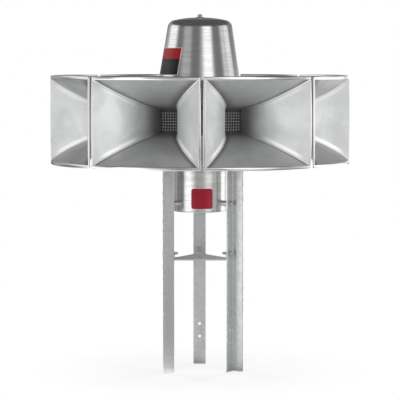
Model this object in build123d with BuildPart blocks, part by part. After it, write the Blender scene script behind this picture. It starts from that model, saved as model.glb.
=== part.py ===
from build123d import *
from math import radians, sin, sqrt
import os

# All sizes are in millimetres. The origin is on the tower's axis at the foot of the legs.
# Two horns meet at the front (-Y) and the rear leg stands at +Y.

# Ring of horns
horn_count = 8
mouth_radius = 724.0
mouth_bulge = 3.0
horn_gap = 17.0
horn_wall = 3.0
throat_radius = 387.0
throat_width = 90.0
throat_height = 103.0
mouth_opening_height = 393.0
plan_flare_sag = 35.0
side_flare_sag = 21.0

# Turned lip round each mouth
lip_depth = 7.0
lip_height = 15.0
lip_side_width = 7.6
lip_side_bow = 5.0
lip_top_bow = 2.5
lip_corner = 4.0
lip_clearance = 3.0

# Joint between horn and port
flange_margin = 20.0
flange_thickness = 6.0
screen_thickness = 2.5
screen_wire = 2.2
screen_columns = 7
screen_rows = 8
seat_clearance = 0.3

# Stator housing, a closed casting with blind ports
port_wall = 5.0
port_reach = 87.0
port_depth = 85.0
port_margin_below = 5.2
port_margin_above = 17.2
plate_overhang = 12.0
plate_thickness = 8.0
intake_radius = 112.0
intake_depth = 60.0

# Weather dome and the cage under it
dome_lift = 105.0
dome_rim_radius = 200.5
dome_side_height = 259.0
dome_shoulder_radius = 157.0
dome_shoulder_round = 34.0
dome_cap_height = 47.0
dome_crown_rise = 13.0
dome_wall = 3.0
dome_hem = 5.0
dome_hem_round = 1.5
cage_inset = 22.5
cage_wall = 2.5
cage_lap = 33.0
cage_ring_height = 12.0
cage_columns = 24
cage_rows = 4
cage_bar = 5.0

# Tie rod, bridge and wing nut that hold the dome
rod_radius = 6.0
rod_end = 8.0
bridge_width = 36.0
bridge_thickness = 8.0
wing_washer_radius = 18.0
wing_hub_radius = 9.0
wing_hub_height = 6.0
wing_span = 30.0
wing_rise = 11.0
wing_thickness = 3.0
wing_tip = 3.0

# Motor housing below the drum
can_radius = 125.0
can_height = 376.7
can_above_brace = 233.0
can_corner = 3.0
can_bead_depth = 1.5
can_bead_height = 6.0
can_flange_gap = 5.0
can_flange_thickness = 6.0

# Legs, of rolled angle
leg_sides = ["rear", "left", "right"]
leg_width = 60.0
leg_thickness = 6.0
leg_root_round = 6.0
leg_toe_round = 3.0
leg_standoff = 38.0
leg_washer_gap = 2.0
pad_inset = 15.0
pad_length = 96.0
pad_width = 84.0
pad_thickness = 8.0
foot_hole_radius = 7.0
foot_hole_low = 140.0
foot_hole_spacing = 63.0

# Bolts
bolt_radius = 6.0
bolt_clearance = 0.5
hex_across_flats = 19.0
bolt_head_height = 8.0
nut_height = 10.0
washer_radius = 16.0
washer_thickness = 2.5
brace_bolt_rise = 32.0
brace_bolt_tail = 18.0
housing_bolt_rise = 42.0
housing_bolt_depth = 24.0
spacer_radius = 13.0

# Brace plate between the legs
brace_height = 546.0
brace_thickness = 6.0
brace_lug_width = 62.0
brace_lug_round = 17.0
brace_edge_sag = 6.0

# Heights, each from the piece below
can_bottom = brace_height + can_above_brace
can_top = can_bottom + can_height
drum_bottom = can_top + seat_clearance
body_bottom = drum_bottom + plate_thickness + seat_clearance
horn_centre_height = body_bottom + port_margin_below + port_wall + throat_height / 2
body_top = horn_centre_height + throat_height / 2 + port_wall + port_margin_above
drum_top = body_top + seat_clearance + plate_thickness
dome_rim_height = drum_top + dome_lift
dome_shoulder_height = dome_rim_height + dome_side_height
dome_crown_height = dome_shoulder_height + dome_cap_height
cage_top = dome_rim_height + cage_lap
brace_bolt_height = brace_height + brace_bolt_rise
housing_bolt_height = can_bottom + housing_bolt_rise
leg_top = drum_bottom - seat_clearance

# Radii, each from the piece beside it
drum_radius = throat_radius - port_reach
port_floor_radius = drum_radius - port_depth
cage_radius = dome_rim_radius - cage_inset
can_bead_radius = can_radius + can_bead_depth
leg_face_radius = can_radius + leg_standoff
can_flange_radius = leg_face_radius - pad_inset - can_flange_gap
bolt_hole_radius = bolt_radius + bolt_clearance
leg_root_side = washer_radius + leg_washer_gap + leg_root_round + leg_thickness
leg_toe_side = leg_width - leg_root_side

# The rear leg stands at +Y, a quarter turn round, and the others follow at equal steps
leg_angles = {side: 90 + number * 360 / len(leg_sides) for number, side in enumerate(leg_sides)}

# Other sizes worked out from the above
horn_step = 360.0 / horn_count
half_step = horn_step / 2
lip_half_width = mouth_radius * sin(radians(half_step)) - horn_gap / 2
mouth_opening_width = 2 * (lip_half_width - lip_side_width)
mouth_corner_x = sqrt(mouth_radius**2 - (mouth_opening_width / 2) ** 2)
mouth_half_height = mouth_opening_height / 2 + lip_height
lip_half_reach = mouth_half_height + 2 * lip_top_bow
past_mouth = 10 * lip_depth
plan_neck_back = throat_radius * 3 / 4
side_neck_back = throat_radius / 2
screen_back = throat_radius - screen_thickness - seat_clearance
port_end = screen_back - seat_clearance
flange_width = throat_width + 2 * flange_margin
flange_height = throat_height + 2 * flange_margin
dome_taper = (dome_rim_radius - dome_shoulder_radius) / (dome_shoulder_height - dome_rim_height)
lug_face_radius = leg_face_radius - seat_clearance
lug_inner_radius = lug_face_radius - brace_thickness
bolt_head_seat = leg_face_radius + leg_thickness + seat_clearance

# Sections that are turned about the tower's axis are drawn on the side away from the horn
turning_plane = Plane(origin=(0, 0, 0), x_dir=(-1, 0, 0), z_dir=(0, 1, 0))


def outward_plane(angle, radius, height):
    """A plane square to a line that leaves the axis at an angle, with its Y upright."""
    outward = Vector(1, 0).rotate(Axis.Z, angle)
    return Plane(
        origin=outward * radius + Vector(0, 0, height), x_dir=outward.rotate(Axis.Z, 90), z_dir=outward
    )


def flare_face(neck_back, throat_half, mouth_x, mouth_half, sag, grow):
    """A straight neck and an arc that flares from it, moved out by grow and mirrored about X."""
    with BuildSketch() as face:
        with BuildLine():
            bare = SagittaArc((throat_radius, throat_half), (mouth_x, mouth_half), -sag, mode=Mode.PRIVATE)
            moved = [bare @ t + (bare % t).rotate(Axis.Z, 90) * grow for t in (0, 0.5, 1)]
            flare = ThreePointArc(*moved)
            run_out = flare % 1
            skirt = Line(flare @ 1, flare @ 1 + run_out * (past_mouth / run_out.X))
            Line(skirt @ 1, ((skirt @ 1).X, 0))
            Polyline(flare @ 0, (neck_back, throat_half + grow), (neck_back, 0))
            mirror(about=Plane.XZ)
        make_face()
    return face.sketch


def flare_solid(grow):
    """The space inside a horn, grown by a wall: an extruded plan flare that meets a turned side flare."""
    plan = flare_face(
        plan_neck_back, throat_width / 2, mouth_corner_x, mouth_opening_width / 2, plan_flare_sag, grow
    )
    side = flare_face(
        side_neck_back, throat_height / 2, mouth_radius, mouth_opening_height / 2, side_flare_sag, grow
    )
    with BuildPart() as solid:
        with BuildSketch():
            add(plan)
        extrude(amount=mouth_opening_height, both=True)
        with BuildSketch(turning_plane):
            add(side)
        revolve(axis=Axis.Z, mode=Mode.INTERSECT)
    return solid.part


def turned_ring(inner, outer):
    """A ring round the tower whose inner and outer faces both swell by the mouth's bulge."""
    with BuildPart() as ring:
        with BuildSketch(turning_plane):
            with BuildLine():
                front = ThreePointArc(
                    (outer, -lip_half_reach), (outer + mouth_bulge, 0), (outer, lip_half_reach)
                )
                back = ThreePointArc(
                    (inner, -lip_half_reach), (inner + mouth_bulge, 0), (inner, lip_half_reach)
                )
                Line(front @ 0, back @ 0)
                Line(front @ 1, back @ 1)
            make_face()
        revolve(axis=Axis.Z)
    return ring.part


def mouth_lip(ring):
    """The lip: a bowed rectangle seen from the front, kept where it meets a ring and its own sector."""
    across = lip_half_width
    up = mouth_half_height
    sector_tip = lip_clearance / 2 / sin(radians(half_step))
    sector_edge = Vector(2 * mouth_radius, 0).rotate(Axis.Z, half_step)
    with BuildPart() as lip:
        with BuildSketch(Plane.YZ.offset(mouth_corner_x - past_mouth)):
            with BuildLine():
                ThreePointArc((-across, up), (0, up + lip_top_bow), (across, up))
                ThreePointArc((across, up), (across + lip_side_bow, 0), (across, -up))
                ThreePointArc((across, -up), (0, -up - lip_top_bow), (-across, -up))
                ThreePointArc((-across, -up), (-across - lip_side_bow, 0), (-across, up))
            make_face()
        extrude(amount=2 * past_mouth)
        fillet(lip.edges().filter_by(Axis.X), radius=lip_corner)
        add(ring, mode=Mode.INTERSECT)
        with BuildSketch():
            Polygon(
                (sector_tip, 0),
                (sector_tip + sector_edge.X, -sector_edge.Y),
                (sector_tip + sector_edge.X, sector_edge.Y),
                align=None,
            )
        extrude(amount=lip_half_reach, both=True, mode=Mode.INTERSECT)
    return lip.part


# A horn, pointing along +X at the height of the origin
horn_skin = flare_solid(horn_wall)
horn_space = flare_solid(0)
horn_reach = turned_ring(throat_radius / 4, mouth_radius)
horn_lip = mouth_lip(turned_ring(mouth_radius - lip_depth, mouth_radius))
with BuildPart() as horn:
    add(horn_skin)
    add(horn_reach, mode=Mode.INTERSECT)
    add(horn_lip)
    with BuildSketch(Plane.YZ.offset(throat_radius)):
        Rectangle(flange_width, flange_height)
    extrude(amount=flange_thickness)
    with BuildSketch(Plane.YZ.offset(throat_radius)):
        Rectangle(2 * flange_width, 2 * flange_height)
    extrude(amount=-throat_radius, mode=Mode.SUBTRACT)
    add(horn_space, mode=Mode.SUBTRACT)

# A throat screen of square mesh, clamped behind the horn's flange
column_pitch = (throat_width + screen_wire) / screen_columns
row_pitch = (throat_height + screen_wire) / screen_rows
with BuildPart() as throat_screen:
    with BuildSketch(Plane.YZ.offset(screen_back)):
        Rectangle(flange_width, flange_height)
        with GridLocations(column_pitch, row_pitch, screen_columns, screen_rows):
            Rectangle(column_pitch - screen_wire, row_pitch - screen_wire, mode=Mode.SUBTRACT)
    extrude(amount=screen_thickness)

# Stator housing: a closed casting with a flanged blind port for each horn
port_length = port_end - port_floor_radius
with BuildPart() as stator_housing:
    with BuildSketch(Plane.XY.offset(body_bottom)):
        Circle(drum_radius)
    extrude(amount=body_top - body_bottom)
    for number in range(horn_count):
        port_floor = outward_plane(half_step + number * horn_step, port_floor_radius, horn_centre_height)
        with BuildSketch(port_floor):
            Rectangle(throat_width + 2 * port_wall, throat_height + 2 * port_wall)
        extrude(amount=port_length)
        with BuildSketch(port_floor.offset(port_length)):
            Rectangle(flange_width, flange_height)
        extrude(amount=-flange_thickness)
        with BuildSketch(port_floor):
            Rectangle(throat_width, throat_height)
        extrude(amount=port_length, mode=Mode.SUBTRACT)
    with BuildSketch(Plane.XY.offset(body_top)):
        Circle(intake_radius)
    extrude(amount=-intake_depth, mode=Mode.SUBTRACT)

# Top plate of the drum, with the air intake under the dome
with BuildPart() as stator_top_plate:
    with BuildSketch(Plane.XY.offset(drum_top - plate_thickness)):
        Circle(drum_radius + plate_overhang)
        Circle(intake_radius, mode=Mode.SUBTRACT)
    extrude(amount=plate_thickness)

# Bottom plate of the drum, which carries the motor housing and the legs
with BuildPart() as stator_bottom_plate:
    with BuildSketch(Plane.XY.offset(drum_bottom)):
        Circle(drum_radius + plate_overhang)
    extrude(amount=plate_thickness)


def dome_face(inset):
    """Half of the dome's upright section: a tapered side, a round shoulder and a low crown."""
    rim_radius = dome_rim_radius - inset
    shoulder_radius = dome_shoulder_radius - inset
    crown_radius = dome_shoulder_radius - dome_shoulder_round
    crown_top = dome_crown_height - inset
    with BuildSketch(Plane.XZ) as face:
        with BuildLine():
            taper = Line((rim_radius, dome_rim_height), (shoulder_radius, dome_shoulder_height))
            crown_edge = (crown_radius, crown_top - dome_crown_rise)
            TangentArc(taper @ 1, crown_edge, tangent=taper % 1)
            TangentArc((0, crown_top), crown_edge, tangent=(1, 0))
            Polyline((0, crown_top), (0, dome_rim_height), taper @ 0)
        make_face()
    return face.sketch


# Weather dome: a spun shell with a hemmed rim and a hole for the tie rod
dome_outside = dome_face(0)
dome_inside = dome_face(dome_wall)
with BuildPart() as weather_dome:
    add(dome_outside)
    with BuildSketch(Plane.XZ):
        with Locations((dome_rim_radius, dome_rim_height + dome_hem / 2)):
            RectangleRounded(dome_hem, dome_hem, dome_hem_round)
    revolve(axis=Axis.Z)
    add(dome_inside)
    revolve(axis=Axis.Z, mode=Mode.SUBTRACT)
    with BuildSketch(Plane.XY.offset(dome_crown_height)):
        Circle(rod_radius + seat_clearance)
    extrude(amount=-dome_crown_rise, mode=Mode.SUBTRACT)


def dome_seat_radius(height):
    """The radius that just clears the inside of the dome's tapered side at a height."""
    return dome_rim_radius - (height - dome_rim_height) * dome_taper - dome_wall - seat_clearance


# Cage round the air intake: a slotted ring whose top flange fits inside the dome
cage_foot = drum_top + seat_clearance
cage_inner = cage_radius - cage_wall
cage_flange = cage_top - cage_ring_height / 2
slot_height = (cage_top - cage_foot - 2 * cage_ring_height - (cage_rows - 1) * cage_bar) / cage_rows
slot_width = cage_radius * radians(360 / cage_columns) - cage_bar
with BuildPart() as intake_cage:
    with BuildSketch(Plane.XY.offset(cage_foot)):
        Circle(cage_radius)
        Circle(cage_inner, mode=Mode.SUBTRACT)
    extrude(amount=cage_top - cage_foot)
    for row in range(cage_rows):
        slot_bottom = cage_foot + cage_ring_height + row * (slot_height + cage_bar)
        with Locations((0, 0, slot_bottom)):
            with PolarLocations(cage_radius, cage_columns):
                Box(
                    4 * cage_wall,
                    slot_width,
                    slot_height,
                    align=(Align.CENTER, Align.CENTER, Align.MIN),
                    mode=Mode.SUBTRACT,
                )
    with BuildSketch(Plane.XZ):
        with BuildLine():
            Polyline(
                (cage_inner, cage_flange),
                (dome_seat_radius(cage_flange), cage_flange),
                (dome_seat_radius(cage_top), cage_top),
                (cage_inner, cage_top),
                close=True,
            )
        make_face()
    revolve(axis=Axis.Z)

# Bridge across the intake, and the rod from it through the top of the dome
bridge_bottom = drum_top + seat_clearance
wing_seat = dome_crown_height + seat_clearance
wing_washer_top = wing_seat + washer_thickness
wing_hub_top = wing_washer_top + wing_hub_height
with BuildPart() as dome_tie_rod:
    with BuildSketch(Plane.XY.offset(bridge_bottom)):
        Circle(cage_inner - seat_clearance)
        Rectangle(2 * cage_inner, bridge_width, mode=Mode.INTERSECT)
    extrude(amount=bridge_thickness)
    with BuildSketch(Plane.XY.offset(bridge_bottom)):
        Circle(rod_radius)
    extrude(amount=wing_hub_top + rod_end - bridge_bottom)

# Wing nut and washer on the rod, on top of the dome
wing_low = wing_washer_top + wing_thickness / 2
wing_high = wing_low + wing_rise
with BuildPart() as dome_wing_nut:
    with BuildSketch(Plane.XY.offset(wing_seat)):
        Circle(wing_washer_radius)
    extrude(amount=washer_thickness)
    with BuildSketch(Plane.XY.offset(wing_washer_top)):
        Circle(wing_hub_radius)
    extrude(amount=wing_hub_height)
    with BuildSketch(Plane.XZ.offset(-wing_thickness / 2)):
        with BuildLine():
            Polyline(
                (0, wing_low),
                (wing_hub_radius, wing_low),
                (wing_span / 2, wing_high - wing_tip),
                (wing_span / 2 - wing_tip, wing_high),
                (wing_hub_radius - wing_tip / 2, wing_hub_top),
                (0, wing_hub_top),
                close=True,
            )
        make_face()
        mirror(about=Plane.YZ)
    extrude(amount=wing_thickness)
    with BuildSketch(Plane.XY.offset(wing_seat)):
        Circle(rod_radius + seat_clearance)
    extrude(amount=wing_high - wing_seat, mode=Mode.SUBTRACT)

# Motor housing: a closed can hung from the bottom plate by its flange
with BuildPart() as motor_housing:
    with BuildSketch(Plane.XY.offset(can_bottom)):
        Circle(can_radius)
    extrude(amount=can_top - can_bottom)
    with BuildSketch(Plane.XY.offset(can_bottom)):
        Circle(can_bead_radius)
    extrude(amount=can_bead_height)
    fillet(motor_housing.edges().group_by(Axis.Z)[0], radius=can_corner)
    with BuildSketch(Plane.XY.offset(can_top)):
        Circle(can_flange_radius)
    extrude(amount=-can_flange_thickness)
    for leg_angle in leg_angles.values():
        with BuildSketch(outward_plane(leg_angle, can_radius - housing_bolt_depth, housing_bolt_height)):
            Circle(bolt_hole_radius)
        extrude(amount=2 * housing_bolt_depth, mode=Mode.SUBTRACT)

# A leg on the +X side: one flange of the angle faces the axis, the other points away from it
leg_face_outside = leg_face_radius + leg_thickness
leg_toe_radius = leg_face_radius + leg_width
leg_flange_inside = leg_root_side - leg_thickness
with BuildPart() as leg:
    with BuildSketch() as leg_section:
        with BuildLine():
            Polyline(
                (leg_face_radius, -leg_toe_side),
                (leg_face_outside, -leg_toe_side),
                (leg_face_outside, leg_flange_inside),
                (leg_toe_radius, leg_flange_inside),
                (leg_toe_radius, leg_root_side),
                (leg_face_radius, leg_root_side),
                close=True,
            )
        make_face()
        root = leg_section.vertices().sort_by_distance((leg_face_outside, leg_flange_inside))[0]
        fillet(root, radius=leg_root_round)
        face_toe = leg_section.vertices().sort_by_distance((leg_face_outside, -leg_toe_side))[0]
        fillet(face_toe, radius=leg_toe_round)
        radial_toe = leg_section.vertices().sort_by_distance((leg_toe_radius, leg_flange_inside))[0]
        fillet(radial_toe, radius=leg_toe_round)
    extrude(amount=leg_top)
    with BuildSketch(Plane.XY.offset(leg_top)):
        with Locations((leg_face_radius - pad_inset, 0)):
            Rectangle(pad_length, pad_width, align=(Align.MIN, Align.CENTER))
    extrude(amount=-pad_thickness)
    with BuildSketch(outward_plane(0, leg_face_radius, 0)):
        with Locations((0, foot_hole_low), (0, foot_hole_low + foot_hole_spacing)):
            Circle(foot_hole_radius)
        with Locations((0, brace_bolt_height), (0, housing_bolt_height)):
            Circle(bolt_hole_radius)
    extrude(amount=leg_thickness, mode=Mode.SUBTRACT)

# Brace plate: a three-sided plate with an upturned lug bolted to each leg
lug_starts = [Vector(lug_face_radius, -brace_lug_width / 2).rotate(Axis.Z, a) for a in leg_angles.values()]
lug_ends = [Vector(lug_face_radius, brace_lug_width / 2).rotate(Axis.Z, a) for a in leg_angles.values()]
with BuildPart() as brace_plate:
    with BuildSketch(Plane.XY.offset(brace_height)):
        with BuildLine():
            for number, lug_end in enumerate(lug_ends):
                Line(lug_starts[number], lug_end)
                SagittaArc(lug_end, lug_starts[(number + 1) % len(lug_starts)], brace_edge_sag)
        make_face()
    extrude(amount=brace_thickness)
    for leg_angle in leg_angles.values():
        with BuildSketch(outward_plane(leg_angle, lug_inner_radius, 0)):
            with Locations((0, brace_height)):
                Rectangle(brace_lug_width, brace_thickness, align=(Align.CENTER, Align.MIN))
            with Locations((0, brace_bolt_height)):
                Circle(brace_lug_round)
            make_hull()
            with Locations((0, brace_bolt_height)):
                Circle(bolt_hole_radius, mode=Mode.SUBTRACT)
        extrude(amount=brace_thickness)


def leg_bolt(tip, nut_seat):
    """A bolt along X: head and washer bear on the leg's outside, the shank reaches in to its tip."""
    with BuildPart() as bolt:
        with BuildSketch(Plane.YZ.offset(tip)):
            Circle(bolt_radius)
        extrude(amount=bolt_head_seat + washer_thickness - tip)
        with BuildSketch(Plane.YZ.offset(bolt_head_seat)):
            Circle(washer_radius)
        extrude(amount=washer_thickness)
        with BuildSketch(Plane.YZ.offset(bolt_head_seat + washer_thickness)):
            RegularPolygon(hex_across_flats / 2, 6, major_radius=False)
        extrude(amount=bolt_head_height)
        if nut_seat > tip:
            with BuildSketch(Plane.YZ.offset(nut_seat)):
                Circle(washer_radius)
            extrude(amount=-washer_thickness)
            with BuildSketch(Plane.YZ.offset(nut_seat - washer_thickness)):
                RegularPolygon(hex_across_flats / 2, 6, major_radius=False)
            extrude(amount=-nut_height)
    return bolt.part


brace_nut_seat = lug_inner_radius - seat_clearance
brace_bolt = leg_bolt(brace_nut_seat - washer_thickness - nut_height - brace_bolt_tail, brace_nut_seat)
housing_bolt_tip = can_radius - housing_bolt_depth + seat_clearance
housing_bolt = leg_bolt(housing_bolt_tip, housing_bolt_tip)

# Spacer tube between the motor housing and a leg
with BuildPart() as housing_spacer:
    with BuildSketch(Plane.YZ):
        Circle(spacer_radius)
        Circle(bolt_hole_radius, mode=Mode.SUBTRACT)
    extrude(amount=leg_face_radius - seat_clearance)
    with BuildSketch():
        Circle(can_radius + seat_clearance)
    extrude(amount=2 * spacer_radius, both=True, mode=Mode.SUBTRACT)


def save(shape, name):
    """Labels a finished piece and writes it as its own file."""
    shape.label = name
    export_step(shape, f"parts/{name}.step")


os.makedirs("parts", exist_ok=True)
for number in range(horn_count):
    turn = Pos(0, 0, horn_centre_height) * Rot(0, 0, half_step + number * horn_step)
    save(turn * horn.part, f"horn_{number + 1}")
    save(turn * throat_screen.part, f"throat_screen_{number + 1}")
for side, leg_angle in leg_angles.items():
    turn = Rot(0, 0, leg_angle)
    save(turn * leg.part, f"leg_{side}")
    save(turn * Pos(0, 0, brace_bolt_height) * brace_bolt, f"brace_bolt_{side}")
    save(turn * Pos(0, 0, housing_bolt_height) * housing_bolt, f"housing_bolt_{side}")
    save(turn * Pos(0, 0, housing_bolt_height) * housing_spacer.part, f"housing_spacer_{side}")
save(stator_housing.part, "stator_housing")
save(stator_top_plate.part, "stator_top_plate")
save(stator_bottom_plate.part, "stator_bottom_plate")
save(weather_dome.part, "weather_dome")
save(intake_cage.part, "intake_cage")
save(dome_tie_rod.part, "dome_tie_rod")
save(dome_wing_nut.part, "dome_wing_nut")
save(motor_housing.part, "motor_housing")
save(brace_plate.part, "brace_plate")
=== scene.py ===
from math import atan, hypot, pi, radians, sin

import bmesh
import bpy
import numpy as np
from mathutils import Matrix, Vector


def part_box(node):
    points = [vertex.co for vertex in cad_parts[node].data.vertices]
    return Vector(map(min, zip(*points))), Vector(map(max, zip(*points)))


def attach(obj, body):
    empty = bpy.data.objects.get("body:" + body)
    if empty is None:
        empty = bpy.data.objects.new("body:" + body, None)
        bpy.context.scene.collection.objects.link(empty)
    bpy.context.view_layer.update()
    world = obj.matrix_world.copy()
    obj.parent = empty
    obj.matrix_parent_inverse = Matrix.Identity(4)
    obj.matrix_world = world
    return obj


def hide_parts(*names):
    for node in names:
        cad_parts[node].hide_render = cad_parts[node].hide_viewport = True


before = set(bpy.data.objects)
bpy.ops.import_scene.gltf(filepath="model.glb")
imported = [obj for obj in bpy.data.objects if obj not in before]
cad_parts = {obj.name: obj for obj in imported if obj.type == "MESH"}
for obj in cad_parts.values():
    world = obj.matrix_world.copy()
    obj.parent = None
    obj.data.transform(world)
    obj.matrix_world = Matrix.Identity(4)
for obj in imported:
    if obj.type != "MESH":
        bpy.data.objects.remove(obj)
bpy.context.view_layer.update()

bl_info = {
    "name": "Outdoor warning siren",
    "version": (1, 0, 0),
    "blender": (4, 5, 0),
    "location": "View3D > Sidebar > Siren",
    "description": "Dresses the ring of horns, dome, motor housing and legs of an outdoor warning siren",
    "category": "Add Mesh",
}

SIDES = {"rear": 90.0, "left": 210.0, "right": 330.0}
HORN_COUNT = 8
HORN_STEP = 360.0 / HORN_COUNT
SHARP_ANGLE = 38.0
SAME_POINT = 1e-7
DUST = (0.35, 0.34, 0.32, 1)


def length(name, description, default):
    """A size in metres that a user can change."""
    return bpy.props.FloatProperty(
        name=name, description=description, default=default, unit="LENGTH", precision=4
    )


def colour(name, description, default):
    """A base colour that a user can change."""
    return bpy.props.FloatVectorProperty(
        name=name, description=description, default=default, size=4, min=0, max=1, subtype="COLOR"
    )


def share(name, description, default):
    """A share from none to all."""
    return bpy.props.FloatProperty(
        name=name, description=description, default=default, min=0, max=1, subtype="FACTOR"
    )


def turning(name, description, degrees):
    """An angle that a user can change."""
    return bpy.props.FloatProperty(
        name=name, description=description, default=radians(degrees), subtype="ANGLE"
    )


def plain_number(name, description, default, subtype="NONE"):
    """A plain number that a user can change."""
    return bpy.props.FloatProperty(name=name, description=description, default=default, subtype=subtype)


def number_of(name, description, default):
    """A number of pieces that a user can change."""
    return bpy.props.IntProperty(name=name, description=description, default=default, min=1)


def middle(node, axis):
    """The middle of a node's box along an axis."""
    low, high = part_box(node)
    return (low[axis] + high[axis]) / 2


class HornSizes(bpy.types.PropertyGroup):
    """Sizes of the eight flared horns."""

    centre_height: length("Centre height", "Height of the horns' middle", middle("horn_1", 2))
    mouth_radius: length("Mouth radius", "From the tower's axis to the mouths' corners", 0.724)
    mouth_bulge: length("Mouth bulge", "How far the mouth's middle stands out", 0.003)
    throat_radius: length("Throat radius", "From the tower's axis to the throat", 0.387)
    throat_half_width: length("Throat half width", "Half the throat's width", 0.045)
    throat_half_height: length("Throat half height", "Half the throat's height", 0.0515)
    gap: length("Gap", "Between two horns at their mouths' corners", 0.017)
    mouth_half_height: length("Mouth half height", "Half the mouth's clear height", 0.1965)
    plan_sag: length("Plan sag", "Bow of the side walls, seen from above", 0.035)
    side_sag: length("Side sag", "Bow of the top and bottom walls, seen from the side", 0.021)
    wall: length("Wall", "Thickness of the metal", 0.003)
    seam_round: length("Seam round", "Radius of the weld where two walls meet", 0.004)
    seam_bead: length("Seam bead", "How far the weld's bead stands up", 0.0016)
    lip_depth: length("Lip depth", "Depth of the lip round the mouth", 0.007)
    lip_side_width: length("Lip side width", "Width of the lip's upright sides", 0.0076)
    lip_height: length("Lip height", "Height of the lip's top and bottom", 0.015)
    lip_side_bow: length("Lip side bow", "How far the lip's upright sides bow out", 0.005)
    lip_top_bow: length("Lip top bow", "How far the lip's top and bottom bow out", 0.0025)
    lip_corner: length("Lip corner", "Radius of the lip's corners", 0.004)
    flange_margin: length("Flange margin", "Width of the flange round the throat", 0.020)
    flange_thickness: length("Flange thickness", "Thickness of the flange round the throat", 0.006)

    @property
    def lip_half_width(self):
        """Half a horn's share of the ring at its mouth's corners, less half the gap."""
        return self.mouth_radius * sin(radians(HORN_STEP / 2)) - self.gap / 2

    @property
    def lip_half_height(self):
        """From the horn's middle up to the lip's corner."""
        return self.mouth_half_height + self.lip_height

    @property
    def mouth_half_width(self):
        """Half the mouth's clear width."""
        return self.lip_half_width - self.lip_side_width


class ScreenSizes(bpy.types.PropertyGroup):
    """Sizes of the woven wire screens in the throats."""

    wire_radius: length("Wire radius", "Half the wire's thickness", 0.0009)
    columns: number_of("Columns", "Openings across", 7)
    rows: number_of("Rows", "Openings up", 8)
    thickness: length("Frame thickness", "Thickness of the sheet frame", 0.0025)
    clearance: length("Clearance", "Gap to the horn's flange", 0.0003)


class DomeSizes(bpy.types.PropertyGroup):
    """Sizes of the spun dome and the nut on it."""

    rim_height: length("Rim height", "Height of the dome's rim", 1.413)
    rim_radius: length("Rim radius", "Radius of the dome's rim", 0.2005)
    shoulder_height: length("Shoulder height", "Height where the shoulder starts", 1.672)
    shoulder_radius: length("Shoulder radius", "Radius where the shoulder starts", 0.157)
    shoulder_round: length("Shoulder round", "How far in the shoulder reaches", 0.034)
    crown_height: length("Crown height", "Height of the crown", 1.719)
    crown_rise: length("Crown rise", "Rise of the crown above the shoulder", 0.013)
    wall: length("Wall", "Thickness of the metal", 0.003)
    hem: length("Hem", "Thickness of the rolled hem", 0.005)
    spin_depth: length("Spin depth", "Height of the ripples left by spinning", 0.000008)
    hole_radius: length("Hole radius", "Radius of the hole for the rod", 0.0063)
    plate_width: length("Plate width", "Width of the blank plate", 0.226)
    plate_top: length("Plate top", "Height of the blank plate's top edge", 1.572)
    plate_bottom: length("Plate bottom", "Height of the blank plate's bottom edge", 1.441)
    plate_split: length("Plate split", "Height where the blank plate's colour changes", 1.5185)
    plate_angle: turning("Plate angle", "Turn of the plate's middle round the dome", -157)


class HousingSizes(bpy.types.PropertyGroup):
    """Sizes of the motor housing."""

    radius: length("Radius", "Radius of the can", 0.125)
    bead: length("Bead", "How far the bottom bead stands out", 0.0015)
    bead_height: length("Bead height", "Height of the bottom bead", 0.006)
    corner: length("Corner", "Radius of the bottom corner", 0.003)
    dish: length("Dish", "How far the bottom is dished in", 0.004)
    fillet: length("Fillet", "Radius under the top flange", 0.004)
    flange_thickness: length("Flange thickness", "Thickness of the top flange", 0.006)
    ripple: length("Ripple", "Height of the rings left by drawing", 0.000008)
    badge_width: length("Badge width", "Width of the blank badge", 0.106)
    badge_height: length("Badge height", "Height of the blank badge", 0.098)
    badge_middle: length("Badge middle", "Height of the blank badge's middle", 0.846)
    badge_angle: turning("Badge angle", "Turn of the badge round the can", -86)


class LegSizes(bpy.types.PropertyGroup):
    """Sizes of the angle legs that the drips and bolts follow."""

    face_radius: length("Face radius", "From the tower's axis to the leg's inner face", 0.163)
    width: length("Width", "Width of each flange", 0.060)
    thickness: length("Thickness", "Thickness of each flange", 0.006)
    root_side: length("Root side", "From the bolts' line to the outside of the radial flange", 0.030)
    lug: length("Lug", "Thickness of the brace plate's lugs", 0.006)
    clearance: length("Clearance", "Gap between the lugs, the legs and the nuts", 0.0003)
    lowest_drip: length("Lowest drip", "Height of the lowest drip", 0.25)
    highest_drip: length("Highest drip", "Height of the highest drip", 1.05)
    drips: number_of("Drips", "Drips on each leg", 30)
    drip_short: length("Short drip", "Length of the shortest drip", 0.008)
    drip_long: length("Long drip", "Length of the longest drip", 0.034)
    drip_thin: length("Thin drip", "Radius of the thinnest drip", 0.0015)
    drip_thick: length("Thick drip", "Radius of the thickest drip", 0.0034)


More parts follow.
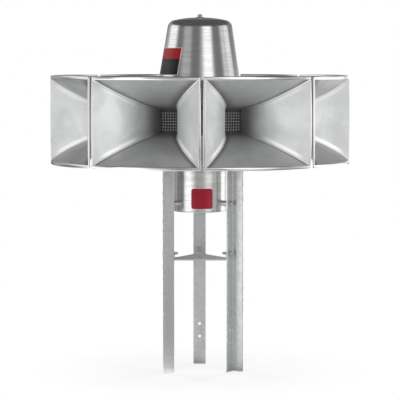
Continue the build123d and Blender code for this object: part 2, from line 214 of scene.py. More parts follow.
class FastenerSizes(bpy.types.PropertyGroup):
    """Sizes of the bolts."""

    shank: length("Shank", "Radius of the leg bolts", 0.006)
    pitch: length("Pitch", "Pitch of the thread", 0.00175)
    thread: length("Thread depth", "Depth of the thread", 0.0006)
    flats: length("Across flats", "Width of the leg bolts' heads", 0.019)
    head: length("Head height", "Height of the leg bolts' heads", 0.008)
    nut: length("Nut height", "Height of the leg bolts' nuts", 0.010)
    washer: length("Washer", "Radius of the leg bolts' washers", 0.016)
    washer_thickness: length("Washer thickness", "Thickness of the washers", 0.0025)
    small_shank: length("Small shank", "Radius of the small bolts", 0.003)
    small_flats: length("Small flats", "Width of the small bolts' heads", 0.013)
    small_head: length("Small head", "Height of the small bolts' heads", 0.0053)
    small_washer: length("Small washer thickness", "Thickness of the small washers", 0.0014)
    flange_washer: length("Flange washer", "Radius of the flange bolts' washers", 0.0075)
    flange_grip: length("Flange grip", "From the flange bolts' washers to their nuts", 0.0155)
    flange_inset: share("Flange inset", "Place of the flange bolts across the flange", 0.6)
    plate_washer: length("Plate washer", "Radius of the plate bolts' washers", 0.0085)
    plate_inset: length("Plate inset", "From the plates' edge to their bolts", 0.028)
    plate_bolts: number_of("Plate bolts", "Bolts round each drum plate", 16)
    rod_clearance: length("Rod clearance", "Gap between the rod and the washer on it", 0.0003)
    wing_washer: length("Wing washer", "Radius of the washer under the wing nut", 0.018)
    wing_flats: length("Wing hub width", "Width of the wing nut's hub", 0.018)
    wing_hub: length("Wing hub height", "Height of the wing nut's hub", 0.006)
    wing_foot: length("Wing foot", "From the washer up to the ears", 0.002)
    wing_rise: length("Wing rise", "Height of the ears", 0.0095)
    wing_reach: length("Wing reach", "From the axis to the ears' feet, and on to their tips", 0.0055)


class Finishes(bpy.types.PropertyGroup):
    """Colours of the metals, of the painted shade on the horns and of the blank plates."""

    horn: colour("Horns", "Sheet of the horns", (0.71, 0.72, 0.72, 1))
    # Painted shade: the dark colour that the horns are blended towards in their throats, on their top,
    # bottom and outside walls and beside their seams.
    painted_shade: colour("Grime", "Dirt in the throats and beside the seams", (0.13, 0.13, 0.13, 1))
    lip: colour("Lips", "Worn bright edges", (0.95, 0.95, 0.95, 1))
    spun: colour("Dome", "Spun dome", (0.88, 0.88, 0.89, 1))
    housing: colour("Motor housing", "Drawn can", (0.92, 0.92, 0.91, 1))
    zinc: colour("Legs", "Galvanised angle", (0.70, 0.71, 0.71, 1))
    casting: colour("Stator", "Dark casting", (0.045, 0.045, 0.047, 1))
    plate: colour("Plates", "Drum plates", (0.22, 0.22, 0.23, 1))
    bolt: colour("Bolts", "Plated bolts", (0.58, 0.58, 0.57, 1))
    wire: colour("Wire", "Screen wire", (0.55, 0.53, 0.515, 1))
    red: colour("Red", "Red of the blank dome plate", (0.36, 0.010, 0.012, 1))
    crimson: colour("Crimson", "Red of the blank badge", (0.23, 0.006, 0.018, 1))
    border: colour("Border", "Pale edge of the blank plates", (0.75, 0.75, 0.74, 1))
    black: colour("Black", "Black of the blank plate", (0.012, 0.012, 0.013, 1))


class StageSettings(bpy.types.PropertyGroup):
    """Camera, lamps and floor."""

    distance: length("Camera distance", "From the tower's axis to the camera", 9.6)
    eye_height: length("Camera height", "Height of the camera", 1.515)
    aim_height: length("Aim height", "Height at which the view's middle meets the axis", 0.832)
    azimuth: turning("Azimuth", "Turn of the camera round the tower", -0.7)
    lens: plain_number("Lens", "Focal length", 177.6, "DISTANCE_CAMERA")
    lamp_power: plain_number("Lamp power", "Power that the lamps have shares of", 205.0, "POWER")
    lamp_aim: length("Lamp aim", "Height on the axis that the lamps point at", 1.1)
    sky: share("Sky", "How brightly the horizon lights the object", 0.18)
    zenith: share("Zenith", "How brightly the sky above lights the object", 0.06)
    card_level: plain_number("Card level", "Strength of the white cards", 1.2)
    card_radius: length("Card radius", "From the tower's axis to the cards", 5.0)
    ceiling: length("Ceiling", "Height of the dark ceiling over the cards", 5.0)


GROUPS = {
    "horns": HornSizes,
    "screens": ScreenSizes,
    "dome": DomeSizes,
    "housing": HousingSizes,
    "legs": LegSizes,
    "fasteners": FastenerSizes,
    "finishes": Finishes,
    "stage": StageSettings,
}


def settings(group):
    """The values of one group of properties."""
    return getattr(bpy.context.scene, f"siren_{group}")


# Meshes


def add_object(name, data):
    """An object in the scene that holds a mesh, a lamp or a camera."""
    made = bpy.data.objects.new(name, data)
    bpy.context.scene.collection.objects.link(made)
    return made


def grid(points, wrap_rows=False, wrap_columns=False, **marks):
    """A surface of two parameters, as rows and columns of points, with marks on each point."""
    return {"points": points, "wrap": (wrap_rows, wrap_columns), "marks": marks}


def grid_faces(rows, columns, wrap_rows, wrap_columns):
    """The four corner numbers of each cell, back to the start where a direction closes on itself."""
    row = np.arange(rows if wrap_rows else rows - 1)[:, None]
    column = np.arange(columns if wrap_columns else columns - 1)[None, :]
    next_row = (row + 1) % rows
    next_column = (column + 1) % columns
    corners = (
        row * columns + column,
        row * columns + next_column,
        next_row * columns + next_column,
        next_row * columns + column,
    )
    return np.stack(np.broadcast_arrays(*corners), -1).reshape(-1, 4)


def make_piece(name, grids, material, stands_for=()):
    """Joins grids into one closed mesh, with poles merged and faces outward, and puts it on the part."""
    points = np.concatenate([g["points"].reshape(-1, 3) for g in grids])
    faces = []
    first = 0
    for g in grids:
        rows, columns = g["points"].shape[:2]
        faces.append(grid_faces(rows, columns, *g["wrap"]) + first)
        first += rows * columns
    mesh = bpy.data.meshes.new(name)
    mesh.from_pydata(points, [], np.concatenate(faces))
    for mark in sorted({m for g in grids for m in g["marks"]}):
        values = [np.broadcast_to(g["marks"].get(mark, 0.0), g["points"].shape[:2]).ravel() for g in grids]
        attribute = mesh.attributes.new(mark, "FLOAT", "POINT")
        attribute.data.foreach_set("value", np.concatenate(values).astype(np.float32))
    shape = bmesh.new()
    shape.from_mesh(mesh)
    bmesh.ops.remove_doubles(shape, verts=shape.verts, dist=SAME_POINT)
    bmesh.ops.recalc_face_normals(shape, faces=shape.faces)
    shape.to_mesh(mesh)
    shape.free()
    mesh.shade_smooth()
    mesh.set_sharp_from_angle(angle=radians(SHARP_ANGLE))
    mesh.materials.append(material)
    piece = add_object(name, mesh)
    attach(piece, "root")
    if stands_for:
        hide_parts(*stands_for)


def turned(points, angle, height=0.0):
    """Points turned about the tower's axis by an angle in degrees, and lifted."""
    a = radians(angle)
    turn = np.array([[np.cos(a), np.sin(a), 0], [-np.sin(a), np.cos(a), 0], [0, 0, 1]])
    return points @ turn + np.array([0, 0, height])


def upright(points, centre, sign=1):
    """Points made along X stood along Z, up or down, at a centre."""
    return np.stack([points[..., 1], points[..., 2], sign * points[..., 0]], -1) + np.array(centre)


def revolved(profile, steps):
    """A profile of radius and height turned round Z: x is r cos a, y is r sin a, z is h."""
    a = np.linspace(0, 2 * pi, steps, endpoint=False)[None, :]
    r, h = profile[:, :1], profile[:, 1:]
    return np.stack([r * np.cos(a), r * np.sin(a), h + 0 * a], -1)


def arc_points(start, end, radius, centre, steps):
    """Points on an arc of a section, as a radius and a height, between two angles round a centre."""
    a = np.linspace(start, end, steps)
    return np.array(centre) + radius * np.stack([np.cos(a), np.sin(a)], 1)


def ripples(z, *waves):
    """The sum of sines that fine tool marks leave along a wall, each with its pace, height and start."""
    return sum(height * np.sin(z * pace + start) for pace, height, start in waves)


def tangent_arc(start, tangent, end, steps):
    """The arc that leaves start along a tangent and reaches end. Its centre lies on the normal at start."""
    start, end = np.array(start), np.array(end)
    along = np.array(tangent) / hypot(*tangent)
    normal = np.array([-along[1], along[0]])
    chord = end - start
    radius = chord @ chord / (2 * normal @ chord)
    centre = start + normal * radius
    a = np.arctan2(*(start - centre)[::-1])
    b = np.arctan2(*(end - centre)[::-1])
    b += 2 * pi * round((a - b) / (2 * pi))
    t = np.linspace(a, b, steps)
    return centre + abs(radius) * np.stack([np.cos(t), np.sin(t)], 1)


# Horns and screens


def bowed_arc(start, end, sag):
    """Centre, radius and end angles of the arc that hangs below its chord by a sag."""
    start, end = np.array(start), np.array(end)
    chord = end - start
    span = hypot(*chord)
    radius = (span**2 / 4 + sag**2) / (2 * sag)
    centre = (start + end) / 2 + np.array([-chord[1], chord[0]]) / span * (radius - sag)
    angles = [np.arctan2(*(p - centre)[::-1]) for p in (start, end)]
    return centre, radius, angles


def flare(s, t, wall):
    """Half width, half height and reach of a horn's wall at t, from 0 at the throat to 1 at the mouth.
    The half width follows the plan arc, the half height follows the side arc at the corner's reach."""
    corner_x = np.sqrt(s.mouth_radius**2 - s.mouth_half_width**2)
    centre, radius, (a, b) = bowed_arc(
        (s.throat_radius, s.throat_half_width), (corner_x, s.mouth_half_width), s.plan_sag
    )
    angle = a + (b - a) * t
    x = centre[0] + (radius - wall) * np.cos(angle)
    half_width = centre[1] + (radius - wall) * np.sin(angle)
    reach = np.hypot(x, half_width)
    centre, radius, _ = bowed_arc(
        (s.throat_radius, s.throat_half_height), (s.mouth_radius, s.mouth_half_height), s.side_sag
    )
    half_height = centre[1] - np.sqrt((radius - wall) ** 2 - (reach - centre[0]) ** 2)
    return half_width, half_height, reach


def ring_samples(straight, corner):
    """Samples round a rounded rectangle, as columns: share of the flat half width and half height,
    the corner's direction, and how far along the corner's arc. They crowd towards the corners."""
    s = np.sin(np.linspace(-1, 1, straight) * pi / 2)
    a = np.linspace(0, pi / 2, corner + 2)[1:-1]
    side = np.stack([1 + 0 * s, s, 1 + 0 * s, 0 * s, 0 * s], 1)
    turn = np.stack([1 + 0 * a, 1 + 0 * a, np.cos(a), np.sin(a), np.sin(2 * a) ** 2], 1)
    top = np.stack([-s, 1 + 0 * s, 0 * s, 1 + 0 * s, 0 * s], 1)
    turn_back = turn[::-1] * np.array([-1, 1, -1, 1, 1])
    half = np.concatenate([side, turn, top, turn_back])
    return np.concatenate([half, half * np.array([-1, -1, -1, -1, 1])])


def station(width, height, reach, corner, flat=0.0, bulge=0.0, side_bow=0.0, top_bow=0.0, bead=0.0, t=0.0):
    """One closed section of a horn, with values that may be arrays along the horn."""
    values = np.broadcast_arrays(width, height, reach, corner, flat, bulge, side_bow, top_bow, bead, t)
    return np.stack([np.atleast_1d(v) for v in values], 1)


def wrapped_sections(stations, samples):
    """Rounded rectangles laid on cylinders round the axis. Across is y and up is z, bowed where asked,
    and x is the root of reach squared less y squared, or just the reach where the section is flat."""
    w, h, reach, c, flat, bulge, side_bow, top_bow, bead, t = (v[:, None] for v in stations.T)
    flat_y, flat_z, turn_y, turn_z, arc = (v[None, :] for v in samples.T)
    y = flat_y * (w - c) + turn_y * c - flat_y * bead * arc
    z = flat_z * (h - c) + turn_z * c - flat_z * bead * arc
    y_share, z_share = y / w, z / h
    y = y + side_bow * (1 - z_share**2) * y_share
    z = z + top_bow * (1 - y_share**2) * z_share
    swell = reach + bulge * (1 - z_share**2)
    x = np.where(flat > 0, reach, np.sqrt(swell**2 - (1 - flat) * y**2))
    on_side = (np.abs(flat_y) == 1) & (turn_z == 0)
    from_seam = np.where(on_side, -(1 - np.abs(flat_z)) * h, (1 - np.abs(flat_y)) * w)
    return np.stack([x, y, z], -1), from_seam, t + 0 * y


def horn_stations(s):
    """The sections of a horn in order: flange back, inner wall, lip, outer wall, flange front."""
    throat_w, throat_h = s.throat_half_width, s.throat_half_height
    flange_w, flange_h = throat_w + s.flange_margin, throat_h + s.flange_margin
    front = s.throat_radius + s.flange_thickness
    edge = 0.002
    back_face = [
        station(flange_w, flange_h, s.throat_radius, edge, flat=1),
        station(throat_w, throat_h, s.throat_radius, s.seam_round, flat=1),
    ]
    t = np.linspace(0.004, 1, 36) ** 0.9
    w, h, reach = flare(s, t, 0)
    near_mouth = t**6
    lip_start = 0.0022
    inner = station(
        w,
        h,
        reach - lip_start * near_mouth,
        s.seam_round,
        bulge=s.mouth_bulge * near_mouth,
        bead=s.seam_bead,
        t=t,
    )
    across = np.array([0.03, 0.10, 0.22, 0.36, 0.64, 0.80, 0.92, 0.985, 1.0, 0.985, 0.92, 0.80, 0.6])
    depth = np.array([0.20, 0.09, 0.02, 0.0, 0.0, 0.03, 0.12, 0.27, 0.47, 0.70, 0.87, 0.96, 1.0])
    lip = station(
        s.mouth_half_width + (s.lip_half_width - s.mouth_half_width) * across,
        s.mouth_half_height + (s.lip_half_height - s.mouth_half_height) * across,
        s.mouth_radius - s.lip_depth * depth,
        np.maximum(s.lip_corner * across, 0.0015),
        bulge=s.mouth_bulge,
        side_bow=s.lip_side_bow * across,
        top_bow=s.lip_top_bow * across,
        t=1.2,
    )
    behind_lip = 1 - s.lip_depth / (s.mouth_radius - s.throat_radius)
    t = np.linspace(behind_lip, 0.02, 26)
    w, h, reach = flare(s, t, s.wall)
    outer = station(w, h, reach, s.seam_round, t=-t)
    front_face = [
        station(throat_w + 1.2 * s.wall, throat_h + 1.2 * s.wall, front, s.seam_round, flat=1, t=-0.01),
        station(flange_w, flange_h, front, edge, flat=1, t=-0.01),
    ]
    return np.concatenate([*back_face, inner, lip, outer, *front_face])


def wire_tubes(path_y, path_z, path_x, radius, across):
    """Round wires along paths given as arrays of wire by step. Each ring is the path plus the wire's
    radius times cosine along X and sine along the other direction. The end rings close to a point."""
    a = np.linspace(0, 2 * pi, 8, endpoint=False)
    path = np.stack([path_x, path_y, path_z], -1)
    path = np.concatenate([path[:, :1], path, path[:, -1:]], 1)
    r = np.full(path.shape[1], radius)
    r[[0, -1]] = 0
    ring = np.cos(a)[:, None] * np.array([1, 0, 0]) + np.sin(a)[:, None] * np.array(across)
    return path[:, :, None, :] + r[None, :, None, None] * ring[None, None]


def screen_grids(horns, s):
    """A sheet frame and woven wires. Each wire sways along X as the cosine of its place in cells, so
    that it goes over one crossing wire and under the next."""
    low = horns.throat_radius - s.clearance - s.thickness
    high = low + s.thickness
    window = (horns.throat_half_width, horns.throat_half_height)
    outside = (window[0] + horns.flange_margin, window[1] + horns.flange_margin)
    samples = ring_samples(9, 3)
    edge = 0.001
    rim = [
        station(*window, low, edge, flat=1),
        station(*window, high, edge, flat=1),
        station(*outside, high, edge, flat=1),
        station(*outside, low, edge, flat=1),
    ]
    frame_points, _, _ = wrapped_sections(np.concatenate(rim), samples)
    grids = [grid(frame_points, wrap_rows=True, wrap_columns=True)]
    middle_x = (low + high) / 2
    sway = s.wire_radius * 0.95
    pitch_y = 2 * (window[0] + s.wire_radius) / s.columns
    pitch_z = 2 * (window[1] + s.wire_radius) / s.rows
    reach_past = 0.006
    for across, other, count, pitch, cross, cross_pitch, span in (
        ("y", (0, 1, 0), s.columns, pitch_y, s.rows, pitch_z, window[1]),
        ("z", (0, 0, 1), s.rows, pitch_z, s.columns, pitch_y, window[0]),
    ):
        number = np.arange(1, count)[:, None]
        place = (number - count / 2) * pitch
        along = np.linspace(-span - reach_past, span + reach_past, cross * 6)[None, :]
        cell = along / cross_pitch + cross / 2
        sign = 1 if across == "y" else -1
        x = middle_x + sign * sway * np.cos(pi * (cell + number))
        place, along = place + 0 * along, along + 0 * place
        y, z = (place, along) if across == "y" else (along, place)
        grids += [grid(wire, wrap_columns=True) for wire in wire_tubes(y, z, x, s.wire_radius, other)]
    return grids


# Turned pieces


def dome_profile(s):
    """Radius and height round the dome's wall: up the taper, over the shoulder and crown to the hole,
    back inside a wall's thickness away, and round the rolled hem. Ripples of spinning ride on it."""

    def skin(inset, steps):
        """One face of the wall from rim to hole."""
        rim = np.array([s.rim_radius - inset, s.rim_height])
        shoulder = np.array([s.shoulder_radius - inset, s.shoulder_height])
        taper = rim + (shoulder - rim) * np.linspace(0.012, 1, steps)[:, None]
        edge = (s.shoulder_radius - s.shoulder_round, s.crown_height - inset - s.crown_rise)
        shoulder_arc = tangent_arc(shoulder, shoulder - rim, edge, 18)[1:]
        crown = tangent_arc((0, s.crown_height - inset), (1, 0), edge, 24)[::-1][1:-1]
        crown = crown[crown[:, 0] > s.hole_radius * 1.2]
        hole = [(s.hole_radius, s.crown_height - inset)]
        return np.concatenate([taper, shoulder_arc, crown, hole])

    outside = skin(0, 90)
    z = outside[:, 1]
    marks = ripples(z, (520, 1, 0), (905, 0.7, 1), (1330, 0.5, 2), (210, 1, 1))
    fade = np.clip((s.crown_height - s.crown_rise - z) / 0.02, 0, 1)
    outside[:, 0] += s.spin_depth * marks * fade
    inside = skin(s.wall, 12)[::-1]
    hem_centre = (s.rim_radius - s.wall / 2, s.rim_height + s.hem / 2)
    hem = arc_points(-0.75 * pi, 0.35 * pi, s.hem / 2, hem_centre, 12)
    return np.concatenate([outside, inside, hem])


def housing_profile(s, bottom, top, flange_radius):
    """Radius and height from the middle of the bottom, round the bead, up the can to its top flange."""
    edge = 0.001
    dish = np.stack([np.linspace(0, s.radius * 0.93, 8), np.full(8, bottom + s.dish)], 1)
    foot = s.radius + s.bead
    corner = arc_points(-pi / 2, 0, s.corner, (foot - s.corner, bottom + s.corner), 6)
    bead_top = bottom + s.bead_height
    bead = arc_points(0, pi / 2, s.bead, (s.radius, bead_top - s.bead), 5)
    under = top - s.flange_thickness
    z = np.linspace(bead_top + edge, under - s.fillet, 60)
    marks = ripples(z, (640, 1, 0), (1130, 0.6, 2), (170, 0.8, 0))
    wall = np.stack([s.radius + s.ripple * marks, z], 1)
    fillet = arc_points(pi, pi / 2, s.fillet, (s.radius + s.fillet, under - s.fillet), 5)
    rim = [
        (flange_radius - edge, under),
        (flange_radius, under + edge),
        (flange_radius, top - edge),
        (flange_radius - edge, top),
        (0, top),
    ]
    foot_ring = [(s.radius * 0.935, bottom + 0.003), (s.radius * 0.94, bottom)]
    return np.concatenate([dish, foot_ring, corner, bead, wall, fillet, rim])


def washer_grid(inner, outer, start, thickness):
    """A flat ring along X with eased edges."""
    e = thickness * 0.2
    end = start + thickness
    section = np.array(
        [
            (inner, start),
            (outer - e, start),
            (outer, start + e),
            (outer, end - e),
            (outer - e, end),
            (inner, end),
        ]
    )
    a = np.linspace(0, 2 * pi, 28, endpoint=False)[None, :]
    r, x = section[:, :1], section[:, 1:]
    return grid(np.stack([x + 0 * a, r * np.cos(a), r * np.sin(a)], -1), wrap_rows=True, wrap_columns=True)


def hex_grid(start, height, flats, turn=0.0, both=False):
    """A hexagon along X. Its radius is half the flats over the cosine of the angle from the nearest
    flat's middle, cut by a cone at the free face, and at both faces on a nut."""
    a = np.linspace(0, 2 * pi, 48, endpoint=False)[None, :]
    nearest = (a + pi / 6) % (pi / 3) - pi / 6
    hexagon = flats / 2 / np.cos(nearest)
    face = flats / 2 * 0.96
    free = np.array([0.0, 0.0, 0.08, 0.16, 0.5, 0.84, 0.92, 1.0, 1.0])[:, None] * abs(height)
    slope = 1.9
    limit = face + (abs(height) - free) * slope
    if both:
        limit = np.minimum(limit, face + free * slope)
    r = np.minimum(hexagon, limit)
    r[[0, -1]] = 0
    x = start + np.sign(height) * free
    return grid(np.stack([x + 0 * r, r * np.cos(a + turn), r * np.sin(a + turn)], -1), wrap_columns=True)


def threaded_grid(start, end, radius, pitch, depth):
    """A threaded shank along X. Its radius drops by the depth times a triangle wave of the place along
    the axis over the pitch less the turn about it."""
    steps = max(int(abs(end - start) / pitch * 6), 8)
    x = np.linspace(start, end, steps)[:, None]
    a = np.linspace(0, 2 * pi, 20, endpoint=False)[None, :]
    phase = (x / pitch - a / (2 * pi)) % 1
    r = radius - depth * np.abs(2 * phase - 1)
    near_end = np.clip(np.minimum(abs(x - start), abs(x - end)) / radius * 2 + 0.75, 0, 1)
    r = r * near_end
    r[[0, -1]] = 0
    return grid(np.stack([x + 0 * a, r * np.cos(a), r * np.sin(a)], -1), wrap_columns=True)


def moved(grids, place):
    """Grids whose points went through a function that places them."""
    return [{**g, "points": place(g["points"])} for g in grids]


def patch_grid(width, height, corner, depth, place):
    """A thin plate with rounded corners: rings of a rounded rectangle shrink to a point on both faces,
    and a function lays them on the surface that carries the plate. The mark holds the distance to the
    nearest edge, which is half the width less |y| or half the height less |z|."""
    samples = ring_samples(29, 4)
    inward = np.linspace(1, 0, 15)
    shares = np.concatenate([inward[::-1], [1, 0.995], inward[1:]])[:, None]
    lift = np.concatenate([0 * inward, [0.6, 1], 0 * inward[1:] + 1])[:, None] * depth
    flat_y, flat_z, turn_y, turn_z, _ = (v[None, :] for v in samples.T)
    y = shares * (flat_y * (width / 2 - corner) + turn_y * corner)
    z = shares * (flat_z * (height / 2 - corner) + turn_z * corner)
    from_edge = np.minimum(width / 2 - np.abs(y), height / 2 - np.abs(z))
    return grid(place(y, z, lift + 0 * y), wrap_columns=True, edge=from_edge)


# Materials


def feed(tree, socket, value):
    """Sets a socket to a value, or links it to another socket."""
    if isinstance(value, bpy.types.NodeSocket):
        tree.links.new(value, socket)
    else:
        socket.default_value = value


def add_node(tree, kind, inputs=None, **values):
    """A node with its settings, and each named input set or linked."""
    node = tree.nodes.new(kind)
    for name, value in values.items():
        setattr(node, name, value)
    for name, value in (inputs or {}).items():
        feed(tree, node.inputs[name], value)
    return node


def new_group(name, inputs, outputs):
    """An empty shader group with its sockets, and its two end nodes."""
    tree = bpy.data.node_groups.new(name, "ShaderNodeTree")
    for socket, kind, default in inputs:
        made = tree.interface.new_socket(socket, in_out="INPUT", socket_type=f"NodeSocket{kind}")
        if default is not None:
            made.default_value = default
    for socket, kind in outputs:
        tree.interface.new_socket(socket, in_out="OUTPUT", socket_type=f"NodeSocket{kind}")
    return tree, tree.nodes.new("NodeGroupInput"), tree.nodes.new("NodeGroupOutput")


def math(tree, operation, a, b=0.0):
    """The result of a Math node."""
    return add_node(tree, "ShaderNodeMath", {0: a, 1: b}, operation=operation).outputs[0]


def product(tree, first, *others):
    """All the values multiplied."""
    for other in others:
        first = math(tree, "MULTIPLY", first, other)
    return first


def mixture(tree, a, a_share, b, b_share):
    """The sum of two values, each times its share."""
    return math(tree, "ADD", product(tree, a, a_share), product(tree, b, b_share))


def remap(tree, value, low, high, to_low=0.0, to_high=1.0):
    """A value moved smoothly from one range into another."""
    node = add_node(
        tree,
        "ShaderNodeMapRange",
        {"Value": value, "From Min": low, "From Max": high, "To Min": to_low, "To Max": to_high},
        interpolation_type="SMOOTHSTEP",
    )
    return node.outputs["Result"]


def blend(tree, amount, a, b):
    """Two colours mixed by an amount."""
    return add_node(tree, "ShaderNodeMix", {0: amount, 6: a, 7: b}, data_type="RGBA").outputs[2]


def part(tree, vector, axis):
    """One part of a vector."""
    return add_node(tree, "ShaderNodeSeparateXYZ", {"Vector": vector}).outputs[axis]


def noise(tree, vector, scale, detail, roughness=0.5, distortion=0.0):
    """The value of a Noise texture."""
    inputs = {
        "Vector": vector,
        "Scale": scale,
        "Detail": detail,
        "Roughness": roughness,
        "Distortion": distortion,
    }
    return add_node(tree, "ShaderNodeTexNoise", inputs).outputs["Fac"]


def seen_by_eye(tree):
    """One for rays that a camera, a mirror or glass sends out, and zero for those of light."""
    path = tree.nodes.new("ShaderNodeLightPath")
    seen = math(tree, "MAXIMUM", path.outputs["Is Camera Ray"], path.outputs["Is Glossy Ray"])
    return math(tree, "MAXIMUM", seen, path.outputs["Is Transmission Ray"])


def mottle_group():
    """Soft clouds over a metal: large and small noise, as a mask from 0 to 1."""
    tree, ends, out = new_group(
        "Mottle",
        [("Vector", "Vector", None), ("Scale", "Float", 9.0), ("Detail Share", "Float", 0.35)],
        [("Mask", "Float"), ("Fine", "Float")],
    )
    vector, scale, share_of_fine = (ends.outputs[name] for name in ("Vector", "Scale", "Detail Share"))
    warp = product(tree, noise(tree, vector, scale, 2.0), 1.4)
    large = noise(tree, vector, scale, 5.0, 0.55, warp)
    fine = noise(tree, vector, product(tree, scale, 14.0), 4.0, 0.65)
    mixed = mixture(tree, large, math(tree, "SUBTRACT", 1.0, share_of_fine), fine, share_of_fine)
    tree.links.new(remap(tree, mixed, 0.32, 0.68), out.inputs["Mask"])
    tree.links.new(fine, out.inputs["Fine"])


def spun_group():
    """Rings left by spinning or turning: noise that changes with height, and slowly round the axis."""
    tree, ends, out = new_group(
        "Spun lines",
        [("Vector", "Vector", None), ("Scale", "Float", 60.0)],
        [("Lines", "Float"), ("Height", "Float")],
    )
    parts = add_node(tree, "ShaderNodeSeparateXYZ", {"Vector": ends.outputs["Vector"]})
    around = math(tree, "ARCTAN2", parts.outputs["Y"], parts.outputs["X"])
    up = product(tree, parts.outputs["Z"], ends.outputs["Scale"])
    place = add_node(tree, "ShaderNodeCombineXYZ", {"X": up, "Y": math(tree, "COSINE", around)}).outputs[0]
    tree.links.new(remap(tree, noise(tree, place, 1.0, 3.0, 0.7), 0.36, 0.66), out.inputs["Lines"])
    tree.links.new(noise(tree, place, 7.0, 2.0, 0.6), out.inputs["Height"])


def spangle_group():
    """Zinc spangle: cells of slightly different grey, broken up by noise."""
    tree, ends, out = new_group(
        "Zinc spangle",
        [("Vector", "Vector", None), ("Scale", "Float", 90.0)],
        [("Mask", "Float"), ("Height", "Float")],
    )
    vector = ends.outputs["Vector"]
    wobble = add_node(tree, "ShaderNodeTexNoise", {"Vector": vector, "Scale": 120.0, "Detail": 3.0})
    shifted = add_node(
        tree,
        "ShaderNodeVectorMath",
        {0: wobble.outputs["Color"], 1: (0.012, 0.012, 0.012), 2: vector},
        operation="MULTIPLY_ADD",
    )
    cells = add_node(
        tree,
        "ShaderNodeTexVoronoi",
        {"Vector": shifted.outputs[0], "Scale": ends.outputs["Scale"], "Randomness": 1.0},
    )
    grey = add_node(tree, "ShaderNodeSeparateColor", {"Color": cells.outputs["Color"]}).outputs["Red"]
    speckle = noise(tree, vector, 240.0, 4.0)
    tree.links.new(mixture(tree, grey, 0.55, speckle, 0.45), out.inputs["Mask"])
    tree.links.new(speckle, out.inputs["Height"])


def group_node(tree, name, inputs):
    """A placed group with its inputs set or linked."""
    return add_node(tree, "ShaderNodeGroup", inputs, node_tree=bpy.data.node_groups[name])


def mottle(tree, place, scale, detail_share):
    """The mask and the fine noise of the Mottle group."""
    node = group_node(tree, "Mottle", {"Vector": place, "Scale": scale, "Detail Share": detail_share})
    return node.outputs["Mask"], node.outputs["Fine"]


def start_material(name, metallic):
    """A material with its Principled shader, and the Object coordinates that its patterns read."""
    material = bpy.data.materials.new(name)
    material.use_nodes = True
    tree = material.node_tree
    shader = tree.nodes["Principled BSDF"]
    shader.inputs["Metallic"].default_value = metallic
    place = tree.nodes.new("ShaderNodeTexCoord").outputs["Object"]
    return material, tree, shader, place


def bump(tree, shader, height, distance, strength):
    """Feeds a height to the shader's normal."""
    node = add_node(tree, "ShaderNodeBump", {"Height": height, "Distance": distance, "Strength": strength})
    tree.links.new(node.outputs["Normal"], shader.inputs["Normal"])


def scaled(shade, factor):
    """A colour made lighter or darker."""
    return (*(min(c * factor, 1.0) for c in shade[:3]), 1.0)


def mark(tree, name):
    """A value that the mesh carries on its points."""
    node = add_node(tree, "ShaderNodeAttribute", attribute_name=name, attribute_type="GEOMETRY")
    return node.outputs["Fac"]


